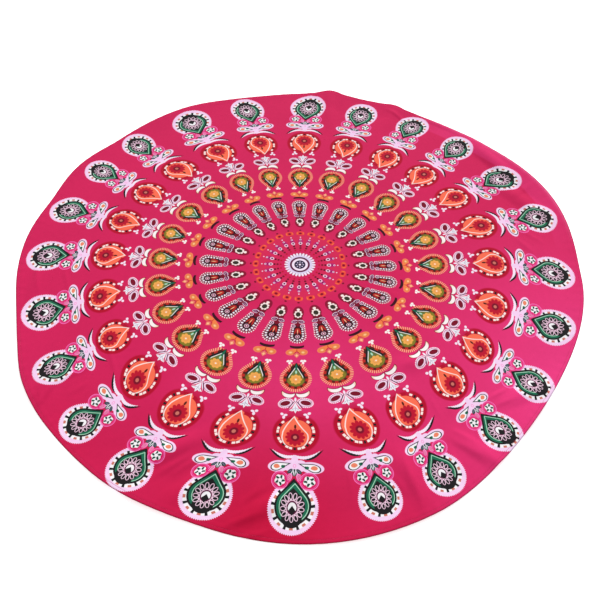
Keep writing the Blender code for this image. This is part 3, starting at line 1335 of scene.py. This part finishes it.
def make_towel(materials):
    """The cloth as one closed sheet of rings and spokes, with its print place and its bake map."""
    shares, rises, facing, printed = sheet_rings()
    rings = len(shares)
    share, angle = np.meshgrid(shares, spoke_angles(), indexing="ij")
    rise = np.repeat(rises[:, None], SPOKES, axis=1)
    share = np.concatenate((share.ravel(), (0.0, 0.0)))
    angle = np.concatenate((angle.ravel(), (0.0, 0.0)))
    rise = np.concatenate((rise.ravel(), (1.0, 0.0)))
    x, y, z = cloth_place(share, angle, rise)
    middle_x, middle_y = outline_middle()
    points = np.column_stack((x - middle_x, y - middle_y, z))

    quads, top_fan, under_fan = sheet_faces(rings)
    mesh = bpy.data.meshes.new("towel_cloth")
    mesh.from_pydata(points.tolist(), [], [*quads.tolist(), *top_fan.tolist(), *under_fan.tolist()])
    for material in materials:
        mesh.materials.append(material)

    # The printed cloth goes over the edge and in under the hem
    quad_ring = np.repeat(np.arange(rings - 1), SPOKES)
    face_ring = np.concatenate((quad_ring, np.zeros(SPOKES), np.full(SPOKES, rings))).astype(int)
    mesh.polygons.foreach_set("material_index", (face_ring >= printed).astype(np.int32))
    mesh.shade_smooth()

    drawn_x, drawn_y = print_place(x, y)
    place = np.column_stack((drawn_x, drawn_y, (1.0 - share) * RADIUS))
    attribute = mesh.attributes.new(PLACE_NAME, "FLOAT_VECTOR", "POINT")
    attribute.data.foreach_set("vector", place.ravel())

    corners = np.concatenate((quads.ravel(), top_fan.ravel(), under_fan.ravel()))
    corner_ring = np.repeat(face_ring, np.where(np.arange(len(face_ring)) < len(quads), 4, 3))
    under = corner_ring >= facing - 1
    bake_map = mesh.uv_layers.new(name=BAKE_MAP)
    places = bake_places(share[corners], angle[corners], rise[corners], under)
    bake_map.data.foreach_set("uv", places.ravel())
    mesh.update()
    return new_object(mesh)


# A stitch is a short bead of thread. Columns: place along it as a share of its half length,
# thickness there as a share of its own
STITCH_STATIONS = (
    (-0.72, 0.80),
    (0.0, 1.0),
    (0.72, 0.80),
)
STITCH_SIDES = 6

# Height of a stitch's middle over the cloth, as a share of its thickness
STITCH_RISE = 0.2

# How uneven the sewing is: length as a share, and lean across the row
STITCH_SEED = 7
STITCH_LENGTHS = (0.9, 1.05)
STITCH_LEANS = (-0.06, 0.06)


def stitch_faces():
    """Corners of one stitch's faces: point 0 is its first tip, then come its rings and last tip.

    Also gives how many points a stitch has.
    """
    last = 1 + len(STITCH_STATIONS) * STITCH_SIDES
    triangles = []
    quads = []
    for side in range(STITCH_SIDES):
        next_side = (side + 1) % STITCH_SIDES
        triangles.append((0, 1 + next_side, 1 + side))
        triangles.append((last, last - STITCH_SIDES + side, last - STITCH_SIDES + next_side))
        for station in range(len(STITCH_STATIONS) - 1):
            ring = 1 + station * STITCH_SIDES
            quads.append((ring + side, ring + next_side,
                          ring + STITCH_SIDES + next_side, ring + STITCH_SIDES + side))
    return np.array(triangles), np.array(quads), last + 1


def make_stitching(material):
    """Row of stitches along the hem, each laid along the edge on the cloth's own top."""
    count = round(math.tau * (RADIUS - STITCH_INSET) / STITCH_PITCH)
    angle = np.arange(count) * (360.0 / count)
    share = np.full(SPOKES, 1.0 - STITCH_INSET / RADIUS)
    spokes = spoke_angles()
    ring = cloth_place(share, spokes, np.ones(SPOKES))
    middle = np.column_stack([np.interp(angle, spokes, values, period=360.0) for values in ring])
    middle_x, middle_y = outline_middle()
    middle -= (middle_x, middle_y, -STITCH_THICKNESS * STITCH_RISE)

    along = np.roll(middle, -1, axis=0) - np.roll(middle, 1, axis=0)
    along /= np.linalg.norm(along, axis=1)[:, None]
    inward = np.cross((0.0, 0.0, 1.0), along)
    inward /= np.linalg.norm(inward, axis=1)[:, None]
    up = np.cross(along, inward)
    uneven = np.random.default_rng(STITCH_SEED)
    half = STITCH_LENGTH / 2 * uneven.uniform(*STITCH_LENGTHS, count)
    lean = uneven.uniform(*STITCH_LEANS, count)
    along = along + inward * lean[:, None]

    tips = along * half[:, None]
    stitch = [middle - tips]
    for station, thick in STITCH_STATIONS:
        centre = middle + tips * station
        for side in range(STITCH_SIDES):
            turn = math.tau * side / STITCH_SIDES
            outward = inward * math.cos(turn) + up * math.sin(turn)
            stitch.append(centre + outward * thick * STITCH_THICKNESS / 2)
    stitch.append(middle + tips)
    points = np.stack(stitch, axis=1).reshape(-1, 3)

    triangles, quads, stitch_points = stitch_faces()
    starts = (np.arange(count) * stitch_points)[:, None, None]
    all_triangles = (triangles[None] + starts).reshape(-1, 3)
    all_quads = (quads[None] + starts).reshape(-1, 4)
    mesh = bpy.data.meshes.new("hem_stitching")
    mesh.from_pydata(points.tolist(), [], [*all_triangles.tolist(), *all_quads.tolist()])
    mesh.materials.append(material)
    mesh.shade_smooth()
    mesh.update()
    return new_object(mesh)


# ---------------------------------------------------------------- floor, light and camera

# The photograph's own view. The camera aims at a point of the floor beside the towel's middle
PHOTO_SIZE = 600
FOCAL_LENGTH_PIXELS = 789.4
CAMERA_ELEVATION = 51.65
CAMERA_DISTANCE = 2.043
AIM_X = 0.0048
AIM_Y = -0.1181

# Half the floor's side, and its finish. It glows a little, to be as white as the photograph's
FLOOR_HALF = 8.0
FLOOR_FINISH = {
    "Base Color": (0.88, 0.88, 0.88, 1.0),
    "Roughness": 0.9,
    "Specular IOR Level": 0.1,
    "Emission Color": (1.0, 1.0, 1.0, 1.0),
    "Emission Strength": 0.55,
}

# Strength of the light from all round, and of the lamp, with its spread, lean and turn
SKY_STRENGTH = 0.60
LAMP_STRENGTH = 3.3
LAMP_SPREAD = 12.0
LAMP_LEAN = 52.0
LAMP_TURN = 75.0


def make_floor():
    """Plain pale floor: one square."""
    mesh = bpy.data.meshes.new("pale_floor")
    sides = ((-1, -1), (1, -1), (1, 1), (-1, 1))
    corners = [(x * FLOOR_HALF, y * FLOOR_HALF, 0.0) for x, y in sides]
    mesh.from_pydata(corners, [], [(0, 1, 2, 3)])
    material, _ = new_material("pale_floor", FLOOR_FINISH)
    mesh.materials.append(material)
    floor = new_object(mesh)
    return floor


def make_light():
    """Soft light from all round, with a sun-like lamp behind the towel that shows its folds."""
    world = bpy.data.worlds.new("studio")
    world.use_nodes = True
    background = world.node_tree.nodes["Background"]
    background.inputs["Color"].default_value = (1.0, 1.0, 1.0, 1.0)
    background.inputs["Strength"].default_value = SKY_STRENGTH
    bpy.context.scene.world = world
    lamp = bpy.data.lights.new("broad_lamp", "SUN")
    lamp.energy = LAMP_STRENGTH
    lamp.angle = math.radians(LAMP_SPREAD)
    placed = new_object(lamp)
    placed.rotation_euler = (0.0, math.radians(LAMP_LEAN), math.radians(LAMP_TURN))


def make_camera():
    """Camera at the photograph's angle: above the edge nearest the viewer, looking along +Y."""
    middle_x, middle_y = outline_middle()
    camera = bpy.data.cameras.new("camera")
    camera.sensor_fit = "HORIZONTAL"
    camera.angle = 2.0 * math.atan(PHOTO_SIZE / 2 / FOCAL_LENGTH_PIXELS)
    placed = new_object(camera)
    tilt = math.radians(CAMERA_ELEVATION)
    placed.location = (
        AIM_X - middle_x,
        AIM_Y - middle_y - CAMERA_DISTANCE * math.cos(tilt),
        CAMERA_DISTANCE * math.sin(tilt),
    )
    placed.rotation_euler = (math.radians(90.0) - tilt, 0.0, 0.0)
    bpy.context.scene.camera = placed


make_camera()
floor = make_floor()
make_light()
bpy.context.scene.view_settings.view_transform = "Standard"

weave_and_shade_group = cloth_weave_and_painted_shade()
printed_face = cloth_material("printed_face", mandala_print_and_painted_light(), weave_and_shade_group)
underside = cloth_material("underside", print_ghost(), weave_and_shade_group)
towel = make_towel([printed_face, underside])
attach(towel, "root")
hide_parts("towel")
stitching = make_stitching(thread_material())
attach(stitching, "root")
